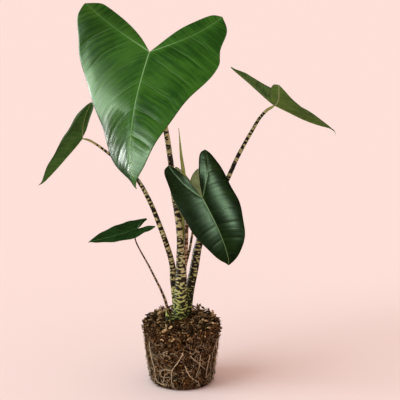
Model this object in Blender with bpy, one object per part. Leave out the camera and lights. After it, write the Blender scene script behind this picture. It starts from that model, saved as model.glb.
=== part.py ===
"""Alocasia zebrina lifted out of its pot: root ball, crown, striped leaf stems and arrow-shaped leaves.

Metres, +Z up. The origin is the centre of the root ball's flat base. The leaf stems lean out to
-X and +X, and -Y is the front.
"""
import random

import bmesh
import bpy
import numpy as np
from mathutils import Vector, noise

# Root ball
BALL_BASE_RADIUS = 0.0485
BALL_SHOULDER_RADIUS = 0.0600
BALL_RIM_RADIUS = 0.0630
BALL_SHOULDER_HEIGHT = 0.088
SOIL_LEVEL = 0.098
SOIL_MOUND = 0.008
BALL_SEGMENTS = 40
CHIP_COUNT = 30
CHIP_LENGTH = 0.016
ROOT_COUNT = 7
ROOT_RADIUS = 0.0008
CLEARANCE = 0.0003

# Blades
BLADE_THICKNESS = 0.0009
BLADE_ROWS = 15
BLADE_COLUMNS = 4
LOBE_COLUMNS = 2
SPINE_SHARE = 0.58
VEIN_ARCH = 0.05
COSTA_BOW = 0.05

# One half of the flat blade, in blade lengths: x runs from the joint to the apex, y to the margin.
OUTER_MARGIN = [
    (1.0, 0.0), (0.955, 0.03), (0.86, 0.12), (0.70, 0.235), (0.50, 0.355), (0.28, 0.46),
    (0.06, 0.525), (-0.14, 0.555), (-0.32, 0.54), (-0.425, 0.465),
]
INNER_MARGIN = [(-0.425, 0.465), (-0.425, 0.375), (-0.315, 0.235), (-0.145, 0.09), (0.0, 0.0)]

# Each blade: its joint on the stem, its length, the way its midrib points (degrees round from the
# front, and up), its roll, the midrib's curl, and for each half (left, right) how far it is raised,
# how that changes towards the apex, how it curls sideways, and its width and lobes. Some blades also
# have a wider or narrower tip, a waist, or a drawn-out drip tip.
LEAVES = {
    "leaf_1": dict(
        joint=(-0.0462, -0.020, 0.5228), length=0.215, heading=-32, pitch=-57, roll=35, curl=(13, 17),
        lobe_curl=-27, tip_curl=27, twist=27, raised=(47, -41), raised_gain=(-34, 5),
        side_curl=(-23, -5), width=(1.12, 1.10), lobe=(0.91, 0.81), lobe_turn=(-10, -6),
        tip_width=(1.55, 1.12), waist=(-0.08, 0.0)),
    "leaf_2": dict(
        joint=(-0.1516, 0.0, 0.3896), length=0.097, heading=-80, pitch=-50, roll=12, curl=(-3, -2),
        lobe_curl=-7, tip_curl=-20, twist=0, raised=(36, 37), raised_gain=(0, -5),
        side_curl=(-9, -59), width=(1.0, 1.0), lobe=(1.14, 1.14), lobe_turn=(7, 7), drip=0.04),
    "leaf_3": dict(
        joint=(0.1466, 0.050, 0.4358), length=0.153, heading=133, pitch=-21, roll=6, curl=(15, -30),
        lobe_curl=-72, tip_curl=32, twist=4, raised=(3, 22), raised_gain=(1, 5),
        side_curl=(0, 0), width=(0.74, 1.19), lobe=(1.05, 0.98), lobe_turn=(0, -21), drip=0.09),
    "leaf_4": dict(
        joint=(0.0325, -0.070, 0.3105), length=0.112, heading=52, pitch=-54, roll=22, curl=(-1, 40),
        lobe_curl=2, tip_curl=41, twist=1, raised=(1, 26), raised_gain=(-3, 0),
        side_curl=(81, -125), width=(1.20, 1.18), lobe=(0.96, 1.12), lobe_turn=(25, 18),
        tip_width=(0.92, 1.20)),
    "leaf_5": dict(
        joint=(-0.0671, -0.020, 0.2528), length=0.079, heading=-75, pitch=-17, roll=4, curl=(-8, -3),
        lobe_curl=11, tip_curl=18, twist=0, raised=(14, 6), raised_gain=(12, -14),
        side_curl=(-16, -40), width=(1.0, 1.0), lobe=(0.83, 0.83), lobe_turn=(-11, -11)),
    "leaf_6": dict(
        joint=(0.0135, 0.026, 0.3200), length=0.058, heading=155, pitch=-58, roll=0, curl=(10, 20),
        lobe_curl=10, tip_curl=10, twist=0, raised=(16, 16), raised_gain=(0, 0),
        side_curl=(-20, -20), width=(0.9, 0.9), lobe=(0.9, 0.9), lobe_turn=(0, 0)),
}

# Each stem: its route from the ground up as chosen points (x, y, z), and its radius at the bottom,
# in the middle and at the top. The last point is the blade's joint, which the stem stops short of.
STEMS = {
    "leaf_1": dict(radius=(0.0050, 0.0044, 0.0030), route=[
        (-0.0010, -0.0085, 0.168), (-0.0010, -0.0080, 0.190), (-0.0036, -0.005, 0.2534),
        (-0.0120, 0.002, 0.3061), (-0.0160, 0.006, 0.3494), (-0.0232, 0.010, 0.3987),
        (-0.0350, 0.012, 0.4556), (-0.0440, 0.004, 0.5030)]),
    "leaf_2": dict(radius=(0.0043, 0.0036, 0.0018), route=[
        (-0.0128, -0.0020, 0.168), (-0.0142, -0.0020, 0.189), (-0.0185, -0.002, 0.2080),
        (-0.0363, 0.0, 0.2602), (-0.0485, 0.002, 0.2899), (-0.0653, 0.004, 0.3211),
        (-0.0898, 0.005, 0.3475), (-0.1125, 0.004, 0.3664), (-0.1280, 0.003, 0.3785),
        (-0.1420, 0.001, 0.3870)]),
    "leaf_3": dict(radius=(0.0066, 0.0052, 0.0022), route=[
        (0.0086, 0.0138, 0.078), (0.0086, 0.0138, 0.105), (0.0120, 0.0135, 0.140),
        (0.0205, 0.0120, 0.1855), (0.0274, 0.013, 0.2223), (0.0494, 0.022, 0.2732),
        (0.0729, 0.030, 0.3228), (0.0887, 0.037, 0.3566), (0.1122, 0.045, 0.3983),
        (0.1232, 0.048, 0.4160), (0.1341, 0.0495, 0.4275), (0.1412, 0.0502, 0.4318)]),
    "leaf_4": dict(radius=(0.0019, 0.0019, 0.0015), route=[
        (0.0045, 0.0065, 0.168), (0.0060, 0.0065, 0.1865), (0.0125, 0.003, 0.2129),
        (0.0176, -0.008, 0.2439), (0.0235, -0.030, 0.2760), (0.0290, -0.052, 0.2990)]),
    "leaf_5": dict(radius=(0.0024, 0.0016, 0.0010), route=[
        (-0.0215, -0.0220, 0.112), (-0.0239, -0.0220, 0.1345), (-0.0468, -0.022, 0.1875),
        (-0.0700, -0.022, 0.2340), (-0.0705, -0.0215, 0.2430)]),
    "leaf_6": dict(radius=(0.0032, 0.0027, 0.0018), route=[
        (0.0042, -0.0010, 0.168), (0.0044, -0.0010, 0.1884), (0.0072, -0.001, 0.2174),
        (0.0081, 0.001, 0.2443), (0.0100, 0.008, 0.2800), (0.0122, 0.016, 0.3050)]),
}
STEM_RINGS = 26
STEM_SIDES = 8
BLADE_GAP = 0.0004
NEW_LEAF_ROUTE = [
    (-0.0015, 0.0050, 0.168), (0.0000, 0.0050, 0.187), (0.0016, 0.0050, 0.2438),
    (0.0022, 0.0045, 0.2900), (0.0031, 0.0040, 0.3354), (-0.0002, 0.0035, 0.3634), (-0.0036, 0.0030, 0.4054),
]
NEW_LEAF_RADIUS = [0.0030, 0.0030, 0.0032, 0.0042, 0.0040, 0.0022, 0.0004]

# Crown: centre (x, y), half width along X and along Y, for each height
CROWN_RINGS = [
    (0.076, -0.0020, -0.0030, 0.0085, 0.0085), (0.090, -0.0016, -0.0035, 0.0100, 0.0098),
    (0.104, -0.0014, -0.0035, 0.0104, 0.0100), (0.124, -0.0018, -0.0030, 0.0108, 0.0106),
    (0.146, -0.0030, -0.0022, 0.0128, 0.0128), (0.166, -0.0042, -0.0016, 0.0152, 0.0150),
    (0.180, -0.0046, -0.0014, 0.0158, 0.0152),
]
CROWN_SIDES = 24
SHOOT_RINGS = [
    (0.086, -0.0200, -0.0220, 0.0050, 0.0050), (0.100, -0.0205, -0.0220, 0.0062, 0.0056),
    (0.112, -0.0210, -0.0220, 0.0056, 0.0050), (0.124, -0.0225, -0.0220, 0.0040, 0.0040),
]

MATERIALS = {
    "soil": ((0.105, 0.060, 0.036), 0.95),
    "root": ((0.550, 0.400, 0.240), 0.80),
    "crown": ((0.270, 0.420, 0.090), 0.45),
    "stem": ((0.330, 0.310, 0.130), 0.50),
    "blade": ((0.045, 0.115, 0.018), 0.35),
    "dark_blade": ((0.012, 0.035, 0.008), 0.30),
    "new_leaf": ((0.420, 0.430, 0.150), 0.45),
}


def clear_scene():
    for old in list(bpy.data.objects):
        bpy.data.objects.remove(old, do_unlink=True)


def make_material(name):
    colour, roughness = MATERIALS[name]
    material = bpy.data.materials.get(name) or bpy.data.materials.new(name)
    material.use_nodes = True
    shader = material.node_tree.nodes["Principled BSDF"]
    shader.inputs["Base Color"].default_value = (*colour, 1.0)
    shader.inputs["Roughness"].default_value = roughness
    return material


def add_solid(name, points, faces, material):
    """Make one closed object, with its faces turned outwards."""
    mesh = bpy.data.meshes.new(name)
    mesh.from_pydata([tuple(float(c) for c in p) for p in points], [], faces)
    shape = bmesh.new()
    shape.from_mesh(mesh)
    bmesh.ops.recalc_face_normals(shape, faces=shape.faces)
    shape.to_mesh(mesh)
    shape.free()
    mesh.materials.append(make_material(material))
    mesh.shade_smooth()
    made = bpy.data.objects.new(name, mesh)
    bpy.context.scene.collection.objects.link(made)
    return made


def smooth_curve(points, count):
    """Centripetal Catmull-Rom curve through the points, as evenly spaced samples."""
    points = np.asarray(points, float)
    points = np.vstack([2 * points[0] - points[1], points, 2 * points[-1] - points[-2]])
    pieces = []
    for p0, p1, p2, p3 in zip(points, points[1:], points[2:], points[3:]):
        t1 = np.linalg.norm(p1 - p0) ** 0.5
        t2 = t1 + np.linalg.norm(p2 - p1) ** 0.5
        t3 = t2 + np.linalg.norm(p3 - p2) ** 0.5
        t = np.linspace(t1, t2, 25)[:-1, None]
        a1 = (t1 - t) / t1 * p0 + t / t1 * p1
        a2 = (t2 - t) / (t2 - t1) * p1 + (t - t1) / (t2 - t1) * p2
        a3 = (t3 - t) / (t3 - t2) * p2 + (t - t2) / (t3 - t2) * p3
        b1 = (t2 - t) / t2 * a1 + t / t2 * a2
        b2 = (t3 - t) / (t3 - t1) * a2 + (t - t1) / (t3 - t1) * a3
        pieces.append((t2 - t) / (t2 - t1) * b1 + (t - t1) / (t2 - t1) * b2)
    curve = np.vstack(pieces + [points[-2:-1]])
    along = np.r_[0.0, np.cumsum(np.linalg.norm(np.diff(curve, axis=0), axis=1))]
    even = np.linspace(0.0, along[-1], count)
    return np.stack([np.interp(even, along, curve[:, axis]) for axis in range(curve.shape[1])], -1)


def tube_rings(centres, radii, sides, flat_ends=False):
    """Rings of points round a centre line, turned along it without twist."""
    centres = np.asarray(centres, float)
    tangents = np.gradient(centres, axis=0)
    tangents /= np.linalg.norm(tangents, axis=1)[:, None]
    if flat_ends:
        tangents[0] = (0.0, 0.0, 1.0)
    side = np.cross(tangents[0], (0.0, 1.0, 0.0))
    rings = []
    for centre, tangent, radius in zip(centres, tangents, radii):
        side = side - tangent * (side @ tangent)
        side /= np.linalg.norm(side)
        other = np.cross(tangent, side)
        angles = np.linspace(0.0, 2.0 * np.pi, sides, endpoint=False)
        rings.append(centre + radius * (np.cos(angles)[:, None] * side + np.sin(angles)[:, None] * other))
    return rings


def ring_solid(name, rings, material):
    """Close a stack of rings, each with the same number of points, into one solid."""
    sides = len(rings[0])
    points = np.vstack(rings)
    faces = []
    for low in range(len(rings) - 1):
        for k in range(sides):
            a = low * sides + k
            b = low * sides + (k + 1) % sides
            faces.append((a, b, b + sides))
            faces.append((a, b + sides, a + sides))
    first = len(points)
    points = np.vstack([points, rings[0].mean(0), rings[-1].mean(0)])
    top = (len(rings) - 1) * sides
    for k in range(sides):
        after = (k + 1) % sides
        faces.append((after, k, first))
        faces.append((top + k, top + after, first + 1))
    return add_solid(name, points, faces, material)


def ellipse_rings(table, sides, grow=0.0):
    angles = np.linspace(0.0, 2.0 * np.pi, sides, endpoint=False)
    rings = []
    for z, x, y, half_x, half_y in table:
        ring = np.empty((sides, 3))
        ring[:, 0] = x + (half_x + grow) * np.cos(angles)
        ring[:, 1] = y + (half_y + grow) * np.sin(angles)
        ring[:, 2] = z
        rings.append(ring)
    rings[0][:, 2] -= grow
    return rings


def apply_boolean(target, tools, operation):
    """Join or cut with a group of solids, then drop the solids."""
    group = bpy.data.collections.new(target.name + "_tools")
    bpy.context.scene.collection.children.link(group)
    for tool in tools:
        for owner in tool.users_collection:
            owner.objects.unlink(tool)
        group.objects.link(tool)
        tool.hide_render = True
        tool.display_type = 'WIRE'
    change = target.modifiers.new(operation.title(), 'BOOLEAN')
    change.operation = operation
    change.operand_type = 'COLLECTION'
    change.collection = group
    change.solver = 'EXACT'
    bpy.context.view_layer.update()
    evaluated = target.evaluated_get(bpy.context.evaluated_depsgraph_get())
    mesh = bpy.data.meshes.new_from_object(evaluated)
    target.modifiers.clear()
    target.data = mesh
    for tool in tools:
        bpy.data.objects.remove(tool, do_unlink=True)
    bpy.data.collections.remove(group)


# Leaf blades

def leaf_frame(leaf):
    """Unit vectors along the midrib, to the right half and out of the upper side."""
    heading, pitch, roll = np.radians([leaf["heading"], leaf["pitch"], leaf["roll"]])
    along = np.array([np.sin(heading) * np.cos(pitch), -np.cos(heading) * np.cos(pitch), np.sin(pitch)])
    up = np.array([0.0, 0.0, 1.0]) - along[2] * along
    up /= np.linalg.norm(up)
    right = np.cross(up, along)
    turned_right = right * np.cos(roll) + up * np.sin(roll)
    turned_up = up * np.cos(roll) - right * np.sin(roll)
    return along, turned_right, turned_up


def warp_outline(outline, leaf, half):
    """Scale and turn the rear lobe, draw out the drip tip, then set the half's width."""
    outline = np.asarray(outline, float)
    share = np.clip((0.15 - outline[:, 0]) / 0.35, 0.0, 1.0)
    share = share * share * (3.0 - 2.0 * share)
    scale = 1.0 + (leaf["lobe"][half] - 1.0) * share
    turn = np.radians(leaf["lobe_turn"][half]) * share
    x = outline[:, 0] * scale
    y = outline[:, 1] * scale
    warped = np.stack([x * np.cos(turn) - y * np.sin(turn), x * np.sin(turn) + y * np.cos(turn)], -1)
    front = np.clip((outline[:, 0] - 0.45) / 0.40, 0.0, 1.0)
    front = front * front * (3.0 - 2.0 * front)
    waist = leaf.get("waist", (0.0, 0.0))[half] * np.exp(-((outline[:, 0] - 0.38) / 0.22) ** 2)
    tip = (leaf.get("tip_width", (1.0, 1.0))[half] - 1.0) * front
    warped[:, 1] *= leaf["width"][half] * (1.0 + tip + waist)
    if "drip" in leaf:
        end = np.clip((outline[:, 0] - 0.90) / 0.10, 0.0, 1.0)
        warped[:, 0] += leaf["drip"] * end
        warped[:, 1] *= 1.0 - 0.6 * end
    return warped


def place_flat(leaf, flat, half):
    """Bend points of the flat half blade into space. Half 0 is the left one, half 1 the right one."""
    along, right, up = leaf_frame(leaf)
    flat = np.asarray(flat, float)
    u, v = flat[:, 0], flat[:, 1]
    first_curl, second_curl = np.radians(leaf["curl"])
    samples = np.linspace(-1.0, 1.3, 461)
    bend = np.where(samples >= 0.0, first_curl * samples + second_curl * samples ** 2,
                    np.radians(leaf["lobe_curl"]) * samples)
    bend += np.radians(leaf["tip_curl"]) * np.clip((samples - 0.82) / 0.18, 0.0, 1.5) ** 2
    step = samples[1] - samples[0]
    forward = np.r_[0.0, np.cumsum((np.cos(bend[1:]) + np.cos(bend[:-1])) / 2 * step)]
    rise = np.r_[0.0, np.cumsum(-(np.sin(bend[1:]) + np.sin(bend[:-1])) / 2 * step)]
    start = np.argmin(np.abs(samples))
    forward -= forward[start]
    rise -= rise[start]
    angle = np.interp(u, samples, bend)
    raised = np.radians(leaf["raised"][half]) + np.radians(leaf["raised_gain"][half]) * u
    curl = np.radians(leaf["side_curl"][half])
    curl = curl if abs(curl) > 1e-4 else 1e-4
    end = raised + curl * v
    out = (np.sin(end) - np.sin(raised)) / curl
    lift = (np.cos(raised) - np.cos(end)) / curl
    local_up = np.outer(np.cos(angle), up) + np.outer(np.sin(angle), along)
    twist = np.radians(leaf["twist"]) * u
    sideways = np.outer(np.cos(twist), right) + local_up * np.sin(twist)[:, None]
    upwards = local_up * np.cos(twist)[:, None] - np.outer(np.sin(twist), right)
    sign = 1.0 if half else -1.0
    midrib = np.outer(np.interp(u, samples, forward), along) + np.outer(np.interp(u, samples, rise), up)
    offset = midrib + sign * out[:, None] * sideways + lift[:, None] * upwards
    return np.asarray(leaf["joint"]) + leaf["length"] * offset


def half_grids(leaf, half, rows, columns, lobe_columns):
    """Flat grids of one half: midrib or costa to the outer margin, and costa to the inner margin."""
    spine_rows = int(round(SPINE_SHARE * rows))
    outer = smooth_curve(warp_outline(OUTER_MARGIN, leaf, half), rows + 1)
    inner = smooth_curve(warp_outline(INNER_MARGIN, leaf, half), rows - spine_rows + 1)[::-1]
    lobe_tip = outer[-1]
    share = np.linspace(0.0, 1.0, rows + 1)
    spine = np.empty((rows + 1, 2))
    spine[:spine_rows + 1, 0] = np.linspace(1.0, 0.0, spine_rows + 1)
    spine[:spine_rows + 1, 1] = 0.0
    costa_share = np.linspace(0.0, 1.0, rows - spine_rows + 1)
    spine[spine_rows:] = np.outer(costa_share, lobe_tip)
    spine[spine_rows:, 1] += COSTA_BOW * np.sin(np.pi * costa_share)
    across = np.linspace(0.0, 1.0, columns + 1)
    blade = spine[:, None] + (outer - spine)[:, None] * across[None, :, None]
    arch = VEIN_ARCH * np.sin(np.pi * share)[:, None] * np.sin(np.pi * across)[None]
    blade[:, :, 0] -= arch * np.linalg.norm(outer - spine, axis=1)[:, None]
    costa = spine[spine_rows:]
    across = np.linspace(0.0, 1.0, lobe_columns + 1)
    lobe = costa[:, None] + (inner - costa)[:, None] * across[None, :, None]
    return blade, lobe


def blade_surface(leaf, half_thickness):
    """One sheet of triangles over both halves, with shared points merged, and its two skins."""
    points = []
    keys = {}
    triangles = []

    def index(point):
        key = tuple(int(round(c * 2e5)) for c in point)
        if key not in keys:
            keys[key] = len(points)
            points.append(point)
        return keys[key]

    for half in (0, 1):
        blade, lobe = half_grids(leaf, half, BLADE_ROWS, BLADE_COLUMNS, LOBE_COLUMNS)
        for grid, flip in ((blade, half == 0), (lobe, half == 1)):
            placed = place_flat(leaf, grid.reshape(-1, 2), half).reshape(*grid.shape[:2], 3)
            numbers = [[index(placed[i, j]) for j in range(grid.shape[1])] for i in range(grid.shape[0])]
            for i in range(grid.shape[0] - 1):
                for j in range(grid.shape[1] - 1):
                    a, b = numbers[i][j], numbers[i][j + 1]
                    c, d = numbers[i + 1][j + 1], numbers[i + 1][j]
                    for corner in ((a, b, c), (a, c, d)):
                        if len(set(corner)) == 3:
                            triangles.append(corner[::-1] if flip else corner)
    points = np.array(points)
    normals = np.zeros_like(points)
    for a, b, c in triangles:
        face = np.cross(points[b] - points[a], points[c] - points[a])
        for corner in (a, b, c):
            normals[corner] += face
    normals /= np.linalg.norm(normals, axis=1)[:, None]
    return points, triangles, normals * half_thickness


def make_blade(name, leaf, material):
    points, triangles, offset = blade_surface(leaf, BLADE_THICKNESS / 2)
    count = len(points)
    both = np.vstack([points + offset, points - offset])
    faces = list(triangles) + [(c + count, b + count, a + count) for a, b, c in triangles]
    edges = {}
    for a, b, c in triangles:
        for edge in ((a, b), (b, c), (c, a)):
            edges[edge] = True
    for a, b in edges:
        if (b, a) not in edges:
            faces.append((b, a, a + count))
            faces.append((b, a + count, b + count))
    return add_solid(name, both, faces, material)


# Stems

def stem_line(name, grow=0.0):
    """Centre points and radii of a stem, ending just under its blade's joint."""
    stem = STEMS[name]
    leaf = LEAVES[name]
    _, right, up = leaf_frame(leaf)
    lean = np.radians(leaf["raised"][0] - leaf["raised"][1]) / 2.0
    gap = BLADE_THICKNESS / 2 + BLADE_GAP
    end = np.asarray(leaf["joint"]) - gap * (up * np.cos(lean) + right * np.sin(lean))
    centres = smooth_curve(list(stem["route"]) + [tuple(end)], STEM_RINGS)
    low, middle, high = stem["radius"]
    share = np.linspace(0.0, 1.0, STEM_RINGS)
    radii = np.interp(share, (0.0, 0.5, 0.97, 1.0), (low, middle, high, 0.35 * high)) + grow
    if grow:
        centres = np.vstack([centres[0] - (0.0, 0.0, grow), centres])
        radii = np.r_[radii[0], radii]
    return centres, radii


def make_stem(name):
    centres, radii = stem_line(name)
    return ring_solid(name + "_stem", tube_rings(centres, radii, STEM_SIDES, flat_ends=True), "stem")


def stem_cutter(name):
    """A slightly wider copy of a stem's foot, for the hole that it stands in."""
    centres, radii = stem_line(name, CLEARANCE)
    foot = max(5, STEM_RINGS // 4)
    return ring_solid(name + "_cutter", tube_rings(centres[:foot], radii[:foot], STEM_SIDES, True), "stem")


def new_leaf_rings(grow=0.0, rings=STEM_RINGS):
    centres = smooth_curve(NEW_LEAF_ROUTE, STEM_RINGS)
    share = np.linspace(0.0, 1.0, STEM_RINGS)
    knots = np.linspace(0.0, 1.0, len(NEW_LEAF_RADIUS))
    radii = np.interp(share, knots, NEW_LEAF_RADIUS) + grow
    if grow:
        centres[0] -= (0.0, 0.0, grow)
    return tube_rings(centres[:rings], radii[:rings], STEM_SIDES, flat_ends=True)


def make_crown():
    crown = ring_solid("crown", ellipse_rings(CROWN_RINGS, CROWN_SIDES), "crown")
    cutters = [stem_cutter(name) for name in ("leaf_1", "leaf_2", "leaf_4", "leaf_6")]
    cutters.append(ring_solid("new_leaf_cutter", new_leaf_rings(CLEARANCE, 7), "crown"))
    apply_boolean(crown, cutters, 'DIFFERENCE')
    return crown


def make_side_shoot():
    shoot = ring_solid("side_shoot", ellipse_rings(SHOOT_RINGS, 14), "crown")
    apply_boolean(shoot, [stem_cutter("leaf_5")], 'DIFFERENCE')
    return shoot


# Root ball

def ball_radius(z):
    """Radius of the smooth side at a height."""
    share = np.clip(z / BALL_SHOULDER_HEIGHT, 0.0, 1.0)
    return BALL_BASE_RADIUS + (BALL_SHOULDER_RADIUS - BALL_BASE_RADIUS) * share ** 0.9


def soil_rings():
    angles = np.linspace(0.0, 2.0 * np.pi, BALL_SEGMENTS, endpoint=False)
    heights = [0.0, 0.004, 0.022, 0.044, 0.066, BALL_SHOULDER_HEIGHT]
    rings = [(ball_radius(z) - (0.003 if z == 0.0 else 0.0), z, 0.0) for z in heights]
    rings.append((BALL_RIM_RADIUS, SOIL_LEVEL - 0.005, 0.0015))
    for share in (0.95, 0.80, 0.62, 0.44, 0.26, 0.10):
        mound = SOIL_LEVEL + SOIL_MOUND * (1.0 - share ** 2)
        rings.append((BALL_RIM_RADIUS * share, mound, 0.0022))
    made = []
    for radius, z, rough in rings:
        ring = []
        for angle in angles:
            spot = Vector((radius * np.cos(angle), radius * np.sin(angle), z)) * 90.0
            bump = rough * noise.noise(spot)
            ring.append(((radius + bump) * np.cos(angle), (radius + bump) * np.sin(angle), z + bump))
        made.append(np.array(ring))
    return made


def make_chip(index, draw):
    """A lump of bark, part sunk in the soil's top or rim."""
    angle = draw.uniform(0.0, 2.0 * np.pi)
    reach = draw.choice((0.95, 0.9, 0.75, 0.62)) * BALL_RIM_RADIUS
    centre = Vector((reach * np.cos(angle), reach * np.sin(angle), SOIL_LEVEL + draw.uniform(-0.003, 0.002)))
    size = [CHIP_LENGTH * draw.uniform(0.6, 1.0), CHIP_LENGTH * draw.uniform(0.35, 0.6),
            CHIP_LENGTH * draw.uniform(0.3, 0.45)]
    shape = bmesh.new()
    bmesh.ops.create_icosphere(shape, subdivisions=1, radius=0.5)
    for corner in shape.verts:
        for axis in range(3):
            corner.co[axis] *= size[axis] * draw.uniform(0.85, 1.1)
    turn = Vector((draw.uniform(-1, 1), draw.uniform(-1, 1), draw.uniform(-1, 1))).to_track_quat('X', 'Z')
    mesh = bpy.data.meshes.new("chip")
    shape.to_mesh(mesh)
    shape.free()
    mesh.transform(turn.to_matrix().to_4x4())
    chip = bpy.data.objects.new("chip_%d" % index, mesh)
    chip.location = centre
    bpy.context.scene.collection.objects.link(chip)
    return chip


def make_soil():
    soil = ring_solid("soil", soil_rings(), "soil")
    draw = random.Random(7)
    chips = [make_chip(k, draw) for k in range(CHIP_COUNT)]
    apply_boolean(soil, chips, 'UNION')
    crown_hole = ring_solid("crown_hole", ellipse_rings(CROWN_RINGS, CROWN_SIDES, CLEARANCE), "soil")
    shoot_hole = ring_solid("shoot_hole", ellipse_rings(SHOOT_RINGS, 14, CLEARANCE), "soil")
    apply_boolean(soil, [crown_hole, shoot_hole, stem_cutter("leaf_3")], 'DIFFERENCE')
    return soil


def root_path(draw, start):
    """A thin root winding down the ball's side from the shoulder to the base."""
    heights = np.linspace(BALL_SHOULDER_HEIGHT - 0.006, 0.0045, 9)
    angle = start
    path = []
    for z in heights:
        angle += draw.uniform(-0.16, 0.16)
        reach = ball_radius(z) + ROOT_RADIUS + CLEARANCE + 0.0001
        path.append((reach * np.cos(angle), reach * np.sin(angle), z))
    return smooth_curve(path, 18)


def make_roots():
    """One web of pale roots on the ball's side, tied by the ring that circles its foot."""
    draw = random.Random(3)
    ring_reach = ball_radius(0.006) + ROOT_RADIUS + CLEARANCE + 0.0001
    angles = np.linspace(0.0, 2.0 * np.pi, 48, endpoint=False)
    centres = np.stack([ring_reach * np.cos(angles), ring_reach * np.sin(angles), np.full(48, 0.006)], -1)
    around = []
    thick = ROOT_RADIUS * 1.15
    for centre, angle in zip(centres, angles):
        out = np.array([np.cos(angle), np.sin(angle), 0.0])
        turns = np.linspace(0.0, 2.0 * np.pi, 6, endpoint=False)
        around.append([centre + thick * (np.cos(t) * out + np.sin(t) * np.array([0.0, 0.0, 1.0])) for t in turns])
    points = np.array(around).reshape(-1, 3)
    points[:, :2] += (points[:, :2] / np.linalg.norm(points[:, :2], axis=1)[:, None]) * 0.00015
    faces = []
    for i in range(48):
        for j in range(6):
            a, b = i * 6 + j, i * 6 + (j + 1) % 6
            c, d = ((i + 1) % 48) * 6 + (j + 1) % 6, ((i + 1) % 48) * 6 + j
            faces.append((a, b, c))
            faces.append((a, c, d))
    web = add_solid("roots", points, faces, "root")
    strands = []
    for k in range(ROOT_COUNT):
        path = root_path(draw, 2.0 * np.pi * (k + draw.uniform(-0.25, 0.25)) / ROOT_COUNT)
        rings = tube_rings(path, np.full(len(path), ROOT_RADIUS), 6)
        strands.append(ring_solid("root_%d" % k, rings, "root"))
    apply_boolean(web, strands, 'UNION')
    return web


def build():
    clear_scene()
    make_soil()
    make_roots()
    make_crown()
    make_side_shoot()
    for name, leaf in LEAVES.items():
        make_stem(name)
        make_blade(name + "_blade", leaf, "dark_blade" if name == "leaf_4" else "blade")
    ring_solid("new_leaf", new_leaf_rings(), "new_leaf")


build()
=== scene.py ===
import math
import random

import bpy
import numpy as np
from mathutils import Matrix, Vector, noise


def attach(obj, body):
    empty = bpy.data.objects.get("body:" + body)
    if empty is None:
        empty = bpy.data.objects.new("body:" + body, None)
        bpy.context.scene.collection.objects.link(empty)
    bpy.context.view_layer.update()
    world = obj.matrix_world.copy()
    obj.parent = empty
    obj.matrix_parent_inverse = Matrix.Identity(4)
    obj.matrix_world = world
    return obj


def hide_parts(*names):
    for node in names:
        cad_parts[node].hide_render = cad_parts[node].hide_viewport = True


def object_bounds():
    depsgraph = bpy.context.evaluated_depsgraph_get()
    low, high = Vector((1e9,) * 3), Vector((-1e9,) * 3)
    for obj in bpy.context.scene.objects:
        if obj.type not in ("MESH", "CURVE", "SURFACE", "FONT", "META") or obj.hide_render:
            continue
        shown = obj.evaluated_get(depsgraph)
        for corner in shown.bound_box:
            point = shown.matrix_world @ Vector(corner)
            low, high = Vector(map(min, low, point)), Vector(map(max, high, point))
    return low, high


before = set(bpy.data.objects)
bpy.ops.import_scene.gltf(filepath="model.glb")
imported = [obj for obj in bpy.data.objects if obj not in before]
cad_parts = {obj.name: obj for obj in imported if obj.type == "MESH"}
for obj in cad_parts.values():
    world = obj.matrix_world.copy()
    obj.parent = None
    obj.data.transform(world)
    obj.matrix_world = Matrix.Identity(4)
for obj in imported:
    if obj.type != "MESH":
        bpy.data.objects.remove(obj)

CAD_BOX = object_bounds()

# Photograph's view: camera place in metres, pitch below the horizon, lens and sensor in millimetres
CAMERA_PLACE = (0.029, -1.654, 0.618)
CAMERA_PITCH = 11.1
CAMERA_LENS = 98.0
CAMERA_SENSOR = 36.0
CAMERA_REACH = 400.0

# Stage and lights
FLOOR_COLOUR = (0.955, 0.720, 0.668)
FLOOR_HALF_WIDTH = 60.0
FLOOR_FRONT = -12.0
FLOOR_BACK = 150.0
AMBIENT_COLOUR = (1.0, 0.84, 0.775)
AMBIENT = 0.75
KEY_POWER = 2.16

# Root ball
BALL_BASE_RADIUS = 0.0485
BALL_SHOULDER_RADIUS = 0.0600
BALL_RIM_RADIUS = 0.0630
BALL_SHOULDER_HEIGHT = 0.088
SOIL_LEVEL = 0.098
SOIL_MOUND = 0.008
SOIL_SEGMENTS = 320
LOWEST_POINT = 0.0004
TOP_CHIPS = 1050
SIDE_CHIPS = 1000
HAIRS = 1700

# Roots, with the radius under which a strand is drawn finer and the one under which it is darker
SIDE_ROOTS = 26
MEDIUM_ROOTS = 56
FINE_ROOTS = 330
ROOT_SLIM = 0.8
FINE_ROOT_RADIUS = 0.00044
DARK_ROOT_RADIUS = 0.00055

# Stems
STEM_RINGS = 230
NEW_LEAF_RINGS = 160
SHEATH_RINGS = 60
STEM_SIDES = 28
STEM_END_GAP = 0.0006

# Blades. Points nearer the CAD model's outer box than the ease depth are drawn back inside it.
FULL_BLADE_LENGTH = 0.215
EASE_DEPTH = 0.003
BLADE_SHEEN = (0.62, 1.0, 0.58)
BLADE_THICKNESS = 0.0006
BLADE_ROWS = 130
BLADE_COLUMNS = 30
LOBE_COLUMNS = 12
SPINE_SHARE = 0.58
VEIN_ARCH = 0.05
COSTA_BOW = 0.05
VEINS_PER_HALF = 9

# One half of the flat blade, in blade lengths: x runs from the joint to the apex, y to the margin.
OUTER_MARGIN = [
    (1.0, 0.0), (0.955, 0.03), (0.86, 0.12), (0.70, 0.235), (0.50, 0.355), (0.28, 0.46),
    (0.06, 0.525), (-0.14, 0.555), (-0.32, 0.54), (-0.425, 0.465),
]
INNER_MARGIN = [(-0.425, 0.465), (-0.425, 0.375), (-0.315, 0.235), (-0.145, 0.09), (0.0, 0.0)]

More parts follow.
